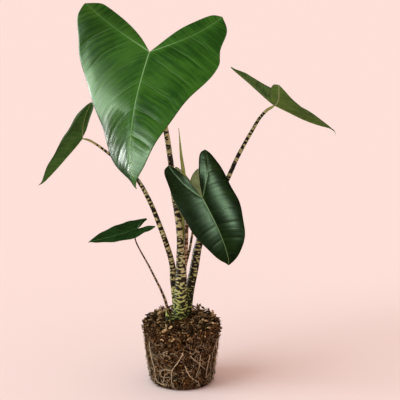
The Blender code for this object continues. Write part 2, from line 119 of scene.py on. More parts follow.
# Each blade, with the same sizes and angles as its solid. Some have a wider or narrower tip, a waist,
# or a drawn-out drip tip. Most values of leaves 1 to 5 were solved from the photograph's leaf edges.
LEAVES = {
    "leaf_1": dict(
        joint=(-0.0462, -0.020, 0.5228), length=0.215, heading=-32, pitch=-57, roll=35, curl=(13, 17),
        lobe_curl=-27, tip_curl=27, twist=27, raised=(47, -41), raised_gain=(-34, 5),
        side_curl=(-23, -5), width=(1.12, 1.10), lobe=(0.91, 0.81), lobe_turn=(-10, -6),
        tip_width=(1.55, 1.12), waist=(-0.08, 0.0)),
    "leaf_2": dict(
        joint=(-0.1516, 0.0, 0.3896), length=0.097, heading=-80, pitch=-50, roll=12, curl=(-3, -2),
        lobe_curl=-7, tip_curl=-20, twist=0, raised=(36, 37), raised_gain=(0, -5),
        side_curl=(-9, -59), width=(1.0, 1.0), lobe=(1.14, 1.14), lobe_turn=(7, 7), drip=0.04),
    "leaf_3": dict(
        joint=(0.1466, 0.050, 0.4358), length=0.153, heading=133, pitch=-21, roll=6, curl=(15, -30),
        lobe_curl=-72, tip_curl=32, twist=4, raised=(3, 22), raised_gain=(1, 5),
        side_curl=(0, 0), width=(0.74, 1.19), lobe=(1.05, 0.98), lobe_turn=(0, -21), drip=0.09),
    "leaf_4": dict(
        joint=(0.0325, -0.070, 0.3105), length=0.112, heading=52, pitch=-54, roll=22, curl=(-1, 40),
        lobe_curl=2, tip_curl=41, twist=1, raised=(1, 26), raised_gain=(-3, 0),
        side_curl=(81, -125), width=(1.20, 1.18), lobe=(0.96, 1.12), lobe_turn=(25, 18),
        tip_width=(0.92, 1.20)),
    "leaf_5": dict(
        joint=(-0.0671, -0.020, 0.2528), length=0.079, heading=-75, pitch=-17, roll=4, curl=(-8, -3),
        lobe_curl=11, tip_curl=18, twist=0, raised=(14, 6), raised_gain=(12, -14),
        side_curl=(-16, -40), width=(1.0, 1.0), lobe=(0.83, 0.83), lobe_turn=(-11, -11)),
    "leaf_6": dict(
        joint=(0.0135, 0.026, 0.3200), length=0.058, heading=155, pitch=-58, roll=0, curl=(10, 20),
        lobe_curl=10, tip_curl=10, twist=0, raised=(16, 16), raised_gain=(0, 0),
        side_curl=(-20, -20), width=(0.9, 0.9), lobe=(0.9, 0.9), lobe_turn=(0, 0)),
}

# Each stem: its radius at places evenly spaced along it, and its route, both from its foot in the root
# ball up. Inside the crown a stem widens into the sheath that wraps the next one.
STEMS = {
    "leaf_1": dict(radius=(0.0090, 0.0106, 0.0082, 0.0052, 0.0048, 0.0046,
                           0.0044, 0.0042, 0.0038, 0.0034, 0.0028),
                   route=[
        (-0.0014, -0.0045, 0.088), (-0.0014, -0.0050, 0.110), (-0.0012, -0.0060, 0.135),
        (-0.0010, -0.0085, 0.168), (-0.0010, -0.0080, 0.190), (-0.0036, -0.005, 0.2534),
        (-0.0120, 0.002, 0.3061), (-0.0160, 0.006, 0.3494), (-0.0232, 0.010, 0.3987),
        (-0.0350, 0.012, 0.4556), (-0.0440, 0.004, 0.5030)]),
    "leaf_2": dict(radius=(0.0070, 0.0068, 0.0056, 0.0044, 0.0042, 0.0038,
                           0.0035, 0.0032, 0.0026, 0.0020, 0.0016),
                   route=[
        (-0.0060, -0.0020, 0.090), (-0.0065, -0.0020, 0.115), (-0.0095, -0.0020, 0.142),
        (-0.0128, -0.0020, 0.168), (-0.0142, -0.0020, 0.189), (-0.0185, -0.002, 0.2080),
        (-0.0363, 0.0, 0.2602), (-0.0485, 0.002, 0.2899), (-0.0653, 0.004, 0.3211),
        (-0.0898, 0.005, 0.3475), (-0.1125, 0.004, 0.3664), (-0.1280, 0.003, 0.3785),
        (-0.1420, 0.001, 0.3870)]),
    "leaf_3": dict(radius=(0.0066, 0.0070, 0.0072, 0.0068, 0.0058, 0.0046,
                           0.0038, 0.0034, 0.0030, 0.0026, 0.0022),
                   route=[
        (0.0082, 0.0140, 0.085), (0.0086, 0.0138, 0.105), (0.0120, 0.0135, 0.140),
        (0.0205, 0.0120, 0.1855), (0.0274, 0.013, 0.2223), (0.0494, 0.022, 0.2732),
        (0.0729, 0.030, 0.3228), (0.0887, 0.037, 0.3566), (0.1122, 0.045, 0.3983),
        (0.1232, 0.048, 0.4160), (0.1341, 0.0495, 0.4275), (0.1412, 0.0502, 0.4318)]),
    "leaf_4": dict(radius=(0.0030, 0.0028, 0.0024, 0.0021, 0.0019, 0.0018, 0.0017, 0.0016, 0.0015),
                   route=[
        (0.0020, 0.0030, 0.115), (0.0035, 0.0050, 0.145), (0.0045, 0.0065, 0.168),
        (0.0060, 0.0065, 0.1865), (0.0125, 0.003, 0.2129),
        (0.0176, -0.008, 0.2439), (0.0235, -0.030, 0.2760), (0.0290, -0.052, 0.2990)]),
    "leaf_5": dict(radius=(0.0026, 0.0024, 0.0019, 0.0016, 0.0013, 0.0011, 0.0010),
                   route=[
        (-0.0212, -0.0220, 0.100), (-0.0239, -0.0220, 0.1345), (-0.0468, -0.022, 0.1875),
        (-0.0700, -0.022, 0.2340), (-0.0705, -0.0215, 0.2430)]),
    "leaf_6": dict(radius=(0.0058, 0.0052, 0.0042, 0.0034, 0.0031, 0.0029, 0.0026, 0.0022, 0.0018),
                   route=[
        (0.0020, -0.0020, 0.110), (0.0035, -0.0015, 0.145), (0.0042, -0.0010, 0.168),
        (0.0044, -0.0010, 0.1884), (0.0072, -0.001, 0.2174),
        (0.0081, 0.001, 0.2443), (0.0100, 0.008, 0.2800), (0.0122, 0.016, 0.3050)]),
}
NEW_LEAF_ROUTE = [
    (-0.0015, 0.0040, 0.130), (0.0000, 0.0050, 0.187), (0.0016, 0.0050, 0.2438),
    (0.0022, 0.0045, 0.2900), (0.0031, 0.0040, 0.3354), (-0.0002, 0.0035, 0.3634), (-0.0036, 0.0030, 0.4054),
]
NEW_LEAF_RADIUS = (0.0030, 0.0030, 0.0032, 0.0040, 0.0042, 0.0024, 0.0003)

# Stem colours: pale ground, dark bands, share of the surface that the bands take
STEM_LOOKS = {
    "leaf_1": ((0.60, 0.53, 0.25), (0.035, 0.020, 0.008), 0.54),
    "leaf_2": ((0.56, 0.48, 0.22), (0.030, 0.018, 0.007), 0.58),
    "leaf_3": ((0.46, 0.42, 0.18), (0.022, 0.016, 0.006), 0.66),
    "leaf_4": ((0.42, 0.34, 0.13), (0.024, 0.014, 0.006), 0.60),
    "leaf_5": ((0.36, 0.23, 0.11), (0.050, 0.022, 0.010), 0.55),
    "leaf_6": ((0.62, 0.42, 0.24), (0.110, 0.040, 0.016), 0.50),
}

# Blade colours: dark and light green of the upper side, underside, roughness, and how far veins show
BLADE_LOOKS = {
    "leaf_1": ((0.014, 0.056, 0.004), (0.040, 0.120, 0.009), (0.085, 0.170, 0.038), 0.32, 0.5),
    "leaf_2": ((0.030, 0.070, 0.012), (0.070, 0.120, 0.034), (0.060, 0.150, 0.028), 0.42, 0.4),
    "leaf_3": ((0.060, 0.110, 0.018), (0.130, 0.190, 0.045), (0.110, 0.205, 0.036), 0.42, 0.4),
    "leaf_4": ((0.005, 0.014, 0.0010), (0.012, 0.034, 0.003), (0.060, 0.100, 0.030), 0.36, 0.22),
    "leaf_5": ((0.010, 0.032, 0.004), (0.020, 0.056, 0.008), (0.060, 0.110, 0.030), 0.36, 0.25),
    "leaf_6": ((0.300, 0.340, 0.180), (0.400, 0.430, 0.260), (0.30, 0.42, 0.20), 0.45, 0.4),
}

# Roots after those in the photograph: radius, then (degrees round from the front, height) points
PHOTO_ROOTS = [
    (0.00085, [(3, 0.066), (-1.5, 0.056), (-5, 0.050), (-15, 0.034), (-16, 0.025), (-16.6, 0.014),
               (-14, 0.006)]),
    (0.00060, [(-15, 0.035), (-27, 0.035), (-35, 0.031), (-38.5, 0.025), (-30.6, 0.0185), (-34, 0.0115),
               (-23, 0.010)]),
    (0.00080, [(5.6, 0.043), (9.8, 0.034), (15.2, 0.025), (24.5, 0.017), (31, 0.0125), (33.5, 0.005)]),
    (0.00065, [(14, 0.060), (22.5, 0.051), (34.5, 0.040), (42.5, 0.032)]),
    (0.00070, [(31, 0.059), (30.5, 0.048), (29.5, 0.037), (26, 0.026), (24.5, 0.020)]),
    (0.00075, [(50.5, 0.055), (48.5, 0.039), (46.5, 0.028), (47, 0.017)]),
    (0.00080, [(-57, 0.074), (-56.5, 0.056), (-52, 0.037), (-50, 0.025), (-50, 0.0155), (-41, 0.009),
               (-23, 0.0085)]),
    (0.00050, [(-42, 0.057), (-32.5, 0.050), (-28, 0.043), (-19.5, 0.037)]),
    (0.00045, [(-30, 0.047), (-36, 0.040), (-28, 0.036), (-22, 0.042)]),
]


# Curves and tubes

def smooth_curve(points, count):
    """Centripetal Catmull-Rom curve through the points, as evenly spaced samples."""
    points = np.asarray(points, float)
    points = np.vstack([2 * points[0] - points[1], points, 2 * points[-1] - points[-2]])
    pieces = []
    for p0, p1, p2, p3 in zip(points, points[1:], points[2:], points[3:]):
        t1 = np.linalg.norm(p1 - p0) ** 0.5
        t2 = t1 + np.linalg.norm(p2 - p1) ** 0.5
        t3 = t2 + np.linalg.norm(p3 - p2) ** 0.5
        t = np.linspace(t1, t2, 25)[:-1, None]
        a1 = (t1 - t) / t1 * p0 + t / t1 * p1
        a2 = (t2 - t) / (t2 - t1) * p1 + (t - t1) / (t2 - t1) * p2
        a3 = (t3 - t) / (t3 - t2) * p2 + (t - t2) / (t3 - t2) * p3
        b1 = (t2 - t) / t2 * a1 + t / t2 * a2
        b2 = (t3 - t) / (t3 - t1) * a2 + (t - t1) / (t3 - t1) * a3
        pieces.append((t2 - t) / (t2 - t1) * b1 + (t - t1) / (t2 - t1) * b2)
    curve = np.vstack(pieces + [points[-2:-1]])
    along = np.r_[0.0, np.cumsum(np.linalg.norm(np.diff(curve, axis=0), axis=1))]
    even = np.linspace(0.0, along[-1], count)
    return np.stack([np.interp(even, along, curve[:, axis]) for axis in range(curve.shape[1])], -1)


def smooth_steps(values, count):
    """Values eased from knot to knot, as evenly spaced samples."""
    knots = np.linspace(0.0, 1.0, len(values))
    share = np.linspace(0.0, 1.0, count)
    coarse = np.interp(share, knots, values)
    window = max(3, count // (2 * len(values)))
    kernel = np.ones(window) / window
    padded = np.pad(coarse, len(kernel), mode="edge")
    return np.convolve(padded, kernel, mode="same")[len(kernel):-len(kernel)]


def ring_faces(rings, sides):
    """Faces of a closed stack of rings, with a flat cap at each end."""
    faces = []
    for low in range(rings - 1):
        for k in range(sides):
            a = low * sides + k
            b = low * sides + (k + 1) % sides
            faces.append((a, b, b + sides, a + sides))
    faces.append(tuple(range(sides - 1, -1, -1)))
    faces.append(tuple((rings - 1) * sides + k for k in range(sides)))
    return faces


def tube(centres, radii, sides):
    """Points, faces, and for each point its place on the straightened tube."""
    centres = np.asarray(centres, float)
    tangents = np.gradient(centres, axis=0)
    tangents /= np.linalg.norm(tangents, axis=1)[:, None]
    side = np.cross(tangents[0], (0.0, 1.0, 0.0))
    lengths = np.r_[0.0, np.cumsum(np.linalg.norm(np.diff(centres, axis=0), axis=1))]
    angles = np.linspace(0.0, 2.0 * np.pi, sides, endpoint=False)
    points = []
    skin = []
    for centre, tangent, radius, length in zip(centres, tangents, radii, lengths):
        side = side - tangent * (side @ tangent)
        side /= np.linalg.norm(side)
        other = np.cross(tangent, side)
        points.append(centre + radius * (np.cos(angles)[:, None] * side + np.sin(angles)[:, None] * other))
        skin.append(np.stack([radius * np.cos(angles), radius * np.sin(angles), np.full(sides, length)], -1))
    return np.vstack(points), ring_faces(len(centres), sides), np.vstack(skin)


def join_parts(parts):
    """Stack (points, faces, values) triples into one."""
    points = []
    faces = []
    values = []
    start = 0
    for part_points, part_faces, part_values in parts:
        points.append(part_points)
        values.append(part_values)
        faces.extend(tuple(corner + start for corner in face) for face in part_faces)
        start += len(part_points)
    return np.vstack(points), faces, np.vstack(values)


def make_piece(name, points, faces, material, slot, replaces=(), **values):
    """One piece of the visual model, with its per-point values for the material."""
    mesh = bpy.data.meshes.new(name)
    mesh.from_pydata(np.asarray(points, float).tolist(), [], faces)
    for key, data in values.items():
        layer = mesh.attributes.new(key, 'FLOAT_VECTOR', 'POINT')
        layer.data.foreach_set("vector", np.asarray(data, float).ravel())
    mesh.materials.append(material)
    mesh.shade_smooth()
    piece = bpy.data.objects.new(name, mesh)
    bpy.context.scene.collection.objects.link(piece)
    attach(piece, "root")
    if replaces:
        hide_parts(*replaces)


# Material graphs

class Graph:
    """Short ways to wire a material."""

    def __init__(self, name):
        self.material = bpy.data.materials.new(name)
        self.material.use_nodes = True
        self.tree = self.material.node_tree
        self.shader = self.tree.nodes["Principled BSDF"]

    def add(self, kind, inputs=None, **settings):
        made = self.tree.nodes.new(kind)
        for key, value in settings.items():
            setattr(made, key, value)
        for key, value in (inputs or {}).items():
            self.set(made.inputs[key], value)
        return made

    def set(self, socket, value):
        if isinstance(value, bpy.types.NodeSocket):
            self.tree.links.new(value, socket)
        elif isinstance(value, tuple) and len(value) == 3 and socket.type == 'RGBA':
            socket.default_value = (*value, 1.0)
        else:
            socket.default_value = value

    def shade(self, **inputs):
        for key, value in inputs.items():
            self.set(self.shader.inputs[key.replace("_", " ")], value)

    def math(self, operation, first, second=0.0, third=0.0):
        made = self.add("ShaderNodeMath", {0: first, 1: second, 2: third}, operation=operation)
        return made.outputs[0]

    def times(self, first, second):
        return self.math('MULTIPLY', first, second)

    def mix(self, share, first, second):
        made = self.add("ShaderNodeMix", data_type='RGBA')
        self.set(made.inputs["Factor"], share)
        self.set(made.inputs[6], first)
        self.set(made.inputs[7], second)
        return made.outputs[2]

    def ramp(self, value, low, high, start=0.0, end=1.0):
        """Smooth step from start to end as the value goes from low to high."""
        made = self.add("ShaderNodeMapRange", interpolation_type='SMOOTHSTEP')
        keys = ("Value", "From Min", "From Max", "To Min", "To Max")
        for key, given in zip(keys, (value, low, high, start, end)):
            self.set(made.inputs[key], given)
        return made.outputs[0]

    def values(self, name):
        """A per-point value, and its three parts."""
        made = self.add("ShaderNodeAttribute", attribute_name=name)
        parts = self.add("ShaderNodeSeparateXYZ", {0: made.outputs["Vector"]})
        return made.outputs["Vector"], parts.outputs[0], parts.outputs[1], parts.outputs[2]

    def place(self):
        return self.add("ShaderNodeTexCoord").outputs["Object"]

    def noise(self, place, scale, detail=2.0, roughness=0.5, distortion=0.0):
        made = self.add("ShaderNodeTexNoise", {"Vector": place, "Scale": scale, "Detail": detail,
                                               "Roughness": roughness, "Distortion": distortion})
        return made.outputs["Fac"]

    def cells(self, place, scale, feature='F1'):
        made = self.add("ShaderNodeTexVoronoi", {"Vector": place, "Scale": scale}, feature=feature)
        return made.outputs["Distance"]

    def stretch(self, place, factors):
        made = self.add("ShaderNodeVectorMath", {0: place, 1: factors}, operation='MULTIPLY')
        return made.outputs[0]

    def bump(self, height, distance, strength=1.0):
        made = self.add("ShaderNodeBump", {"Height": height, "Distance": distance, "Strength": strength})
        self.set(self.shader.inputs["Normal"], made.outputs[0])


def blade_material(name, scale):
    dark, light, under, roughness, vein_show = BLADE_LOOKS[name]
    graph = Graph(name + "_blade_look")
    place = graph.place()
    _, mid, phase, pitch = graph.values("veins")
    _, edge, upper, along = graph.values("reach")
    _, half, _, _ = graph.values("side")
    wobble = graph.math('MULTIPLY_ADD', graph.noise(place, 22.0), 0.24, -0.12)
    bent = graph.math('ADD', phase, wobble)
    within = graph.math('FRACT', graph.math('ADD', bent, 0.5))
    nearest = graph.math('ABSOLUTE', graph.math('SUBTRACT', within, 0.5))
    vein_gap = graph.times(nearest, pitch)
    inside = graph.ramp(edge, 0.004 * scale, 0.034 * scale)
    lateral = graph.times(graph.ramp(vein_gap, 0.0, 0.0008 * scale + 0.0003, 1.0, 0.0), inside)
    rib_width = graph.math('MULTIPLY_ADD', graph.ramp(along, -0.2, 1.0, 1.0, 0.3), 0.0009 * scale, 0.00022)
    rib = graph.ramp(mid, graph.times(rib_width, 0.5), graph.times(rib_width, 1.4),
                     1.0, 0.0)
    halo = graph.ramp(mid, 0.0, 0.010 * scale, 1.0, 0.0)
    streak_parts = {0: graph.times(bent, 7.0), 1: graph.times(mid, 14.0 / scale), 2: graph.times(half, 7.3)}
    streak_place = graph.add("ShaderNodeCombineXYZ", streak_parts).outputs[0]
    streak = graph.noise(streak_place, 1.0, 3.0, 0.55)
    tone = graph.noise(place, 14.0 / max(scale, 0.4), 3.0, 0.6)
    fine = graph.noise(place, 700.0, 2.0, 0.6)
    mixed_tone = graph.math('MULTIPLY_ADD', streak, 0.5, graph.times(tone, 0.5))
    ground = graph.mix(graph.ramp(mixed_tone, 0.38, 0.62), dark, light)
    ground = graph.mix(graph.times(halo, 0.30), ground, tuple(min(1.0, c * 1.5) for c in light))
    vein_green = tuple(0.7 * a + 0.3 * b for a, b in zip(light, (0.30, 0.42, 0.16)))
    top = graph.mix(graph.times(lateral, vein_show), ground, vein_green)
    rib_show = graph.ramp(along, -0.14, 0.02, 0.16, 0.75)
    top = graph.mix(graph.times(rib, rib_show), top, (0.27, 0.40, 0.17))
    rim = graph.ramp(edge, 0.0003, 0.0010, 1.0, 0.0)
    top = graph.mix(graph.times(rim, 0.6), top, (0.13, 0.10, 0.03))
    below = graph.mix(graph.ramp(mixed_tone, 0.36, 0.64), tuple(0.7 * c for c in under),
                      tuple(1.25 * c for c in under))
    below = graph.mix(graph.times(lateral, 0.5), below, (0.20, 0.26, 0.09))
    below = graph.mix(graph.times(rib, 0.9), below, (0.38, 0.42, 0.18))
    below = graph.mix(graph.times(rim, 0.8), below, (0.09, 0.05, 0.02))
    side = graph.ramp(upper, 0.45, 0.55)
    rough_top = graph.math('MULTIPLY_ADD', graph.noise(place, 60.0, 3.0), 0.14, roughness - 0.07)
    rough = graph.math('ADD', graph.times(side, graph.math('SUBTRACT', rough_top, 0.5)), 0.5)
    graph.shade(Base_Color=graph.mix(side, below, top), Roughness=rough, IOR=1.5, Specular_Tint=BLADE_SHEEN,
                Specular_IOR_Level=graph.math('MULTIPLY_ADD', side, 0.38, 0.12))
    height = graph.math('ADD', graph.times(fine, 0.05),
                        graph.times(lateral, -0.5 * vein_show))
    ripple = graph.noise(graph.stretch(streak_place, (2.4, 1.3, 1.0)), 1.0, 2.0, 0.5)
    height = graph.math('ADD', height, graph.times(streak, 0.5))
    height = graph.math('ADD', height, graph.times(ripple, 0.40))
    graph.bump(height, 0.0011 * max(scale, 0.5), 0.5)
    return graph.material


def stem_material(name):
    pale, band, share = STEM_LOOKS[name]
    graph = Graph(name + "_stem_look")
    skin, _, _, _ = graph.values("skin")
    _, green, plain, _ = graph.values("zones")
    place = graph.place()
    blotch = graph.noise(graph.stretch(skin, (135.0, 135.0, 330.0)), 1.0, 1.0, 0.4, 0.2)
    middle = 0.5 + (share - 0.5) * 0.35
    cut = graph.math('MULTIPLY_ADD', plain, -0.30, graph.math('MULTIPLY_ADD', green, 0.02, middle))
    bands = graph.ramp(blotch, graph.math('SUBTRACT', cut, 0.025), graph.math('ADD', cut, 0.025), 1.0, 0.0)
    speck = graph.noise(graph.stretch(skin, (420.0, 420.0, 700.0)), 1.0, 2.0)
    ground = graph.mix(graph.ramp(speck, 0.35, 0.7), tuple(0.8 * c for c in pale),
                       tuple(min(1.0, 1.2 * c) for c in pale))
    ground = graph.mix(graph.times(green, 0.75), ground, (0.46, 0.56, 0.10))
    ground = graph.mix(plain, ground, (0.36, 0.38, 0.10))
    dark = graph.mix(graph.times(green, 0.65), band, (0.018, 0.030, 0.006))
    colour = graph.mix(bands, ground, dark)
    graph.shade(Base_Color=colour, Roughness=0.42, IOR=1.42, Coat_Weight=0.08, Coat_Roughness=0.25)
    fine = graph.noise(graph.stretch(skin, (1500.0, 1500.0, 240.0)), 1.0, 2.0)
    height = graph.math('ADD', graph.times(bands, 0.25), graph.times(fine, 0.3))
    graph.bump(height, 0.0003, 0.6)
    return graph.material


def new_leaf_material():
    graph = Graph("new_leaf_look")
    skin, across, _, _ = graph.values("skin")
    streak = graph.noise(graph.stretch(skin, (700.0, 700.0, 30.0)), 1.0, 2.0)
    colour = graph.mix(graph.ramp(streak, 0.35, 0.7), (0.34, 0.42, 0.09), (0.50, 0.56, 0.18))
    seam = graph.ramp(across, 0.0008, 0.0022)
    colour = graph.mix(graph.times(seam, 0.55), colour, (0.14, 0.15, 0.035))
    graph.shade(Base_Color=colour, Roughness=0.42, IOR=1.42)
    graph.bump(streak, 0.0003, 0.5)
    return graph.material


def soil_material():
    graph = Graph("soil_look")
    place = graph.place()
    clump = graph.noise(place, 110.0, 5.0, 0.65)
    grain = graph.cells(place, 420.0)
    colour = graph.mix(graph.ramp(clump, 0.38, 0.62), (0.004, 0.0015, 0.0005), (0.065, 0.026, 0.007))
    flecks = graph.ramp(graph.noise(place, 330.0, 3.0), 0.57, 0.66)
    colour = graph.mix(graph.times(flecks, 0.8), colour, (0.42, 0.23, 0.085))
    # Painted shade: the soil is darkened towards deep brown in the pits of its bump, where shade would fall.
    pit_shade = graph.ramp(grain, 0.0, 0.25, 1.0, 0.0)
    colour = graph.mix(graph.times(pit_shade, 0.5), colour, (0.02, 0.011, 0.007))
    graph.shade(Base_Color=colour, Roughness=0.9, IOR=1.4, Specular_IOR_Level=0.05)
    graph.bump(graph.math('ADD', clump, graph.times(grain, 0.8)), 0.0016, 1.0)
    return graph.material


def chip_material():
    graph = Graph("chip_look")
    _, tone, warm, _ = graph.values("tone")
    place = graph.place()
    fibre = graph.noise(graph.stretch(place, (300.0, 300.0, 900.0)), 1.0, 3.0, 0.6)
    ground = graph.mix(tone, (0.012, 0.0045, 0.0013), (0.88, 0.54, 0.26))
    ground = graph.mix(graph.times(warm, 0.5), ground, (0.34, 0.13, 0.03))
    colour = graph.mix(graph.ramp(fibre, 0.38, 0.62), graph.mix(0.8, ground, (0.007, 0.003, 0.001)), ground)
    graph.shade(Base_Color=colour, Roughness=0.82, Specular_IOR_Level=0.12)
    graph.bump(fibre, 0.0008, 0.9)
    return graph.material


def root_material():
    graph = Graph("root_look")
    _, tone, _, _ = graph.values("tone")
    place = graph.place()
    stain = graph.noise(place, 160.0, 3.0)
    colour = graph.mix(tone, (0.085, 0.034, 0.009), (0.68, 0.50, 0.31))
    colour = graph.mix(graph.ramp(stain, 0.52, 0.72), colour, (0.14, 0.075, 0.035))
    graph.shade(Base_Color=colour, Roughness=0.7)
    graph.bump(graph.noise(place, 1500.0, 2.0), 0.0002, 0.6)
    return graph.material


# Leaf blades

def leaf_frame(leaf):
    """Unit vectors along the midrib, to the right half and out of the upper side."""
    heading, pitch, roll = np.radians([leaf["heading"], leaf["pitch"], leaf["roll"]])
    along = np.array([np.sin(heading) * np.cos(pitch), -np.cos(heading) * np.cos(pitch), np.sin(pitch)])
    up = np.array([0.0, 0.0, 1.0]) - along[2] * along
    up /= np.linalg.norm(up)
    right = np.cross(up, along)
    turned_right = right * np.cos(roll) + up * np.sin(roll)
    turned_up = up * np.cos(roll) - right * np.sin(roll)
    return along, turned_right, turned_up


def warp_outline(outline, leaf, half):
    """Scale and turn the rear lobe, draw out the drip tip, then set the half's width."""
    outline = np.asarray(outline, float)
    share = np.clip((0.15 - outline[:, 0]) / 0.35, 0.0, 1.0)
    share = share * share * (3.0 - 2.0 * share)
    scale = 1.0 + (leaf["lobe"][half] - 1.0) * share
    turn = np.radians(leaf["lobe_turn"][half]) * share
    x = outline[:, 0] * scale
    y = outline[:, 1] * scale
    warped = np.stack([x * np.cos(turn) - y * np.sin(turn), x * np.sin(turn) + y * np.cos(turn)], -1)
    front = np.clip((outline[:, 0] - 0.45) / 0.40, 0.0, 1.0)
    front = front * front * (3.0 - 2.0 * front)
    waist = leaf.get("waist", (0.0, 0.0))[half] * np.exp(-((outline[:, 0] - 0.38) / 0.22) ** 2)
    tip = (leaf.get("tip_width", (1.0, 1.0))[half] - 1.0) * front
    warped[:, 1] *= leaf["width"][half] * (1.0 + tip + waist)
    if "drip" in leaf:
        end = np.clip((outline[:, 0] - 0.90) / 0.10, 0.0, 1.0)
        warped[:, 0] += leaf["drip"] * end
        warped[:, 1] *= 1.0 - 0.6 * end
    return warped


def place_flat(leaf, flat, half):
    """Bend points of the flat half blade into space. Half 0 is the left one, half 1 the right one."""
    along, right, up = leaf_frame(leaf)
    flat = np.asarray(flat, float)
    u, v = flat[:, 0], flat[:, 1]
    first_curl, second_curl = np.radians(leaf["curl"])
    samples = np.linspace(-1.0, 1.3, 461)
    bend = np.where(samples >= 0.0, first_curl * samples + second_curl * samples ** 2,
                    np.radians(leaf["lobe_curl"]) * samples)
    bend += np.radians(leaf["tip_curl"]) * np.clip((samples - 0.82) / 0.18, 0.0, 1.5) ** 2
    step = samples[1] - samples[0]
    forward = np.r_[0.0, np.cumsum((np.cos(bend[1:]) + np.cos(bend[:-1])) / 2 * step)]
    rise = np.r_[0.0, np.cumsum(-(np.sin(bend[1:]) + np.sin(bend[:-1])) / 2 * step)]
    start = np.argmin(np.abs(samples))
    forward -= forward[start]
    rise -= rise[start]
    angle = np.interp(u, samples, bend)
    raised = np.radians(leaf["raised"][half]) + np.radians(leaf["raised_gain"][half]) * u
    curl = np.radians(leaf["side_curl"][half])
    curl = curl if abs(curl) > 1e-4 else 1e-4
    end = raised + curl * v
    out = (np.sin(end) - np.sin(raised)) / curl
    lift = (np.cos(raised) - np.cos(end)) / curl
    local_up = np.outer(np.cos(angle), up) + np.outer(np.sin(angle), along)
    twist = np.radians(leaf["twist"]) * u
    sideways = np.outer(np.cos(twist), right) + local_up * np.sin(twist)[:, None]
    upwards = local_up * np.cos(twist)[:, None] - np.outer(np.sin(twist), right)
    sign = 1.0 if half else -1.0
    midrib = np.outer(np.interp(u, samples, forward), along) + np.outer(np.interp(u, samples, rise), up)
    offset = midrib + sign * out[:, None] * sideways + lift[:, None] * upwards
    return np.asarray(leaf["joint"]) + leaf["length"] * offset


def half_grids(leaf, half):
    """Flat grids of one half: midrib or costa to the outer margin, and costa to the inner margin."""
    rows = BLADE_ROWS
    spine_rows = int(round(SPINE_SHARE * rows))
    outer = smooth_curve(warp_outline(OUTER_MARGIN, leaf, half), rows + 1)
    inner = smooth_curve(warp_outline(INNER_MARGIN, leaf, half), rows - spine_rows + 1)[::-1]
    lobe_tip = outer[-1]
    share = np.linspace(0.0, 1.0, rows + 1)
    spine = np.empty((rows + 1, 2))
    spine[:spine_rows + 1, 0] = np.linspace(1.0, 0.0, spine_rows + 1)
    spine[:spine_rows + 1, 1] = 0.0
    costa_share = np.linspace(0.0, 1.0, rows - spine_rows + 1)
    spine[spine_rows:] = np.outer(costa_share, lobe_tip)
    spine[spine_rows:, 1] += COSTA_BOW * np.sin(np.pi * costa_share)
    across = np.linspace(0.0, 1.0, BLADE_COLUMNS + 1)
    blade = spine[:, None] + (outer - spine)[:, None] * across[None, :, None]
    arch = VEIN_ARCH * np.sin(np.pi * share)[:, None] * np.sin(np.pi * across)[None]
    blade[:, :, 0] -= arch * np.linalg.norm(outer - spine, axis=1)[:, None]
    costa = spine[spine_rows:]
    across = np.linspace(0.0, 1.0, LOBE_COLUMNS + 1)
    lobe = costa[:, None] + (inner - costa)[:, None] * across[None, :, None]
    border = np.vstack([outer, inner])
    return (blade, share), (lobe, share[spine_rows:]), spine, border


def nearest_distance(points, line):
    """Distance from each flat point to a line of close samples."""
    far = np.empty(len(points))
    for first in range(0, len(points), 2000):
        part = points[first:first + 2000]
        far[first:first + 2000] = np.sqrt(((part[:, None] - line[None]) ** 2).sum(-1)).min(1)
    return far


def blade_sheet(leaf):
    """The blade's middle surface: points, faces and vein values of both halves as one sheet."""
    points = []
    keys = {}
    faces = []
    veins = []
    reach = []
    sides = []
    length = leaf["length"]
    for half in (0, 1):
        blade, lobe, spine, border = half_grids(leaf, half)
        for (grid, share), flip in ((blade, half == 0), (lobe, half == 1)):
            flat = grid.reshape(-1, 2)
            placed = place_flat(leaf, flat, half)
            mid = nearest_distance(flat, spine) * length
            edge = nearest_distance(flat, border) * length
            shaped = placed.reshape(*grid.shape[:2], 3)
            row_step = np.gradient(shaped, axis=0)
            column_step = np.gradient(shaped, axis=1)
            column_step /= np.linalg.norm(column_step, axis=2)[..., None] + 1e-9
            apart = np.linalg.norm(np.cross(row_step, column_step), axis=2) * BLADE_ROWS / VEINS_PER_HALF
            phase = np.repeat(share * VEINS_PER_HALF, grid.shape[1])
            numbers = np.empty(len(flat), int)
            for k, point in enumerate(placed):
                key = (round(point[0] * 1e5), round(point[1] * 1e5), round(point[2] * 1e5))
                if key not in keys:
                    keys[key] = len(points)
                    points.append(point)
                    veins.append((mid[k], phase[k], apart.ravel()[k]))
                    reach.append((edge[k], 1.0, flat[k, 0]))
                    sides.append((float(half), 0.0, 0.0))
                numbers[k] = keys[key]
            numbers = numbers.reshape(grid.shape[:2])
            for i in range(grid.shape[0] - 1):
                for j in range(grid.shape[1] - 1):
                    corners = [numbers[i, j], numbers[i, j + 1], numbers[i + 1, j + 1], numbers[i + 1, j]]
                    face = []
                    for corner in corners:
                        if corner not in face:
                            face.append(int(corner))
                    if len(face) > 2:
                        faces.append(tuple(face[::-1]) if flip else tuple(face))
    return np.array(points), faces, np.array(veins), np.array(reach), np.array(sides)


def sheet_normals(points, faces):
    normals = np.zeros_like(points)
    for face in faces:
        a, b, c = points[face[0]], points[face[1]], points[face[2]]
        cross = np.cross(b - a, c - a)
        for corner in face:
            normals[corner] += cross
    return normals / (np.linalg.norm(normals, axis=1)[:, None] + 1e-12)


def ease_inside(points):
    """Draw the points nearest the CAD model's outer box back inside it, without a hard edge."""
    lowest, highest = (np.array(corner) for corner in CAD_BOX)
    eased = points.copy()
    for sign, limit in ((1.0, highest), (-1.0, lowest)):
        over = np.maximum(0.0, sign * (eased - limit) + EASE_DEPTH)
        eased -= sign * (over - EASE_DEPTH * (1.0 - np.exp(-over / EASE_DEPTH)))
    return eased


